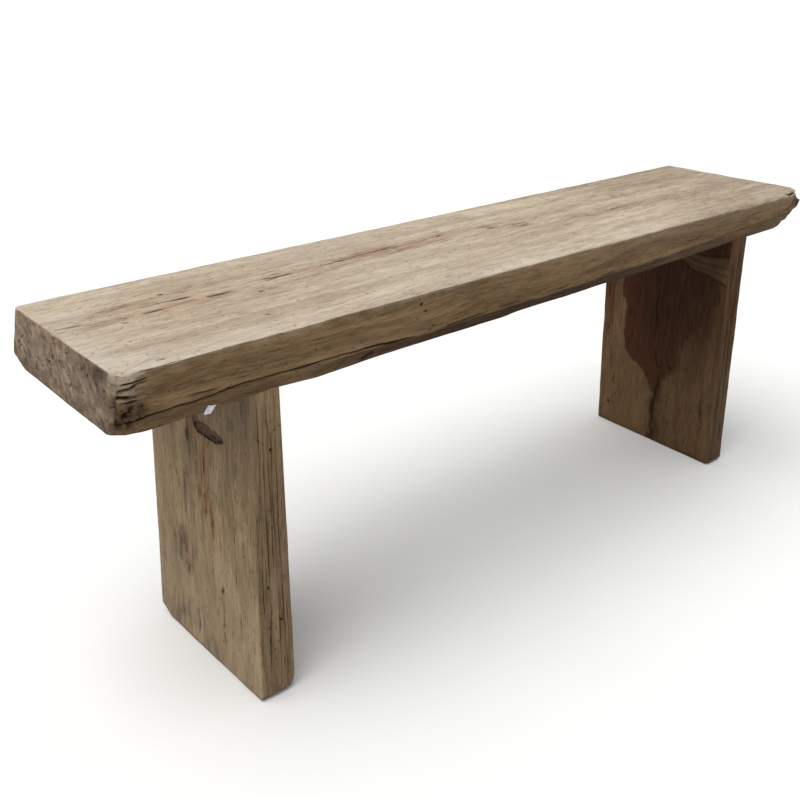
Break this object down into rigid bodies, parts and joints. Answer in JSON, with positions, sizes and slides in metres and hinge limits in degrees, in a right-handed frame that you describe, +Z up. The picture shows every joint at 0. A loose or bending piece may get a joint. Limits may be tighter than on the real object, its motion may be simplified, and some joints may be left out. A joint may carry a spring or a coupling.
{
  "type": "backless bench",
  "caption": "Low backless bench of old timber: a thick slab seat with a natural lower edge on splayed slab legs.",
  "frame": {"origin": "on the floor, under the middle of the seat's bounding box", "axes": "+X along the bench's length, -Y at the front, +Z up"},
  "size_m": [1.2374, 0.269, 0.46],
  "materials": {
    "seat_wood": "worn, dry, unsealed old elm with torn grain and cracks",
    "left_leg_wood": "worn, dry, unsealed old elm with a spike knot",
    "right_leg_wood": "worn old elm with a dark stain",
    "wedge_wood": "plain split hardwood",
    "label_paper": "matt white paper"
  },
  "bodies": {
    "root": {"seat_slab": "seat_wood", "left_leg": "left_leg_wood", "right_leg": "right_leg_wood", "left_wedge_1": "wedge_wood", "left_wedge_2": "wedge_wood", "left_wedge_3": "wedge_wood", "left_wedge_4": "wedge_wood", "right_wedge_1": "wedge_wood", "right_wedge_2": "wedge_wood", "right_wedge_3": "wedge_wood", "right_wedge_4": "wedge_wood", "paper_label": "label_paper"}
  },
  "joints": []
}
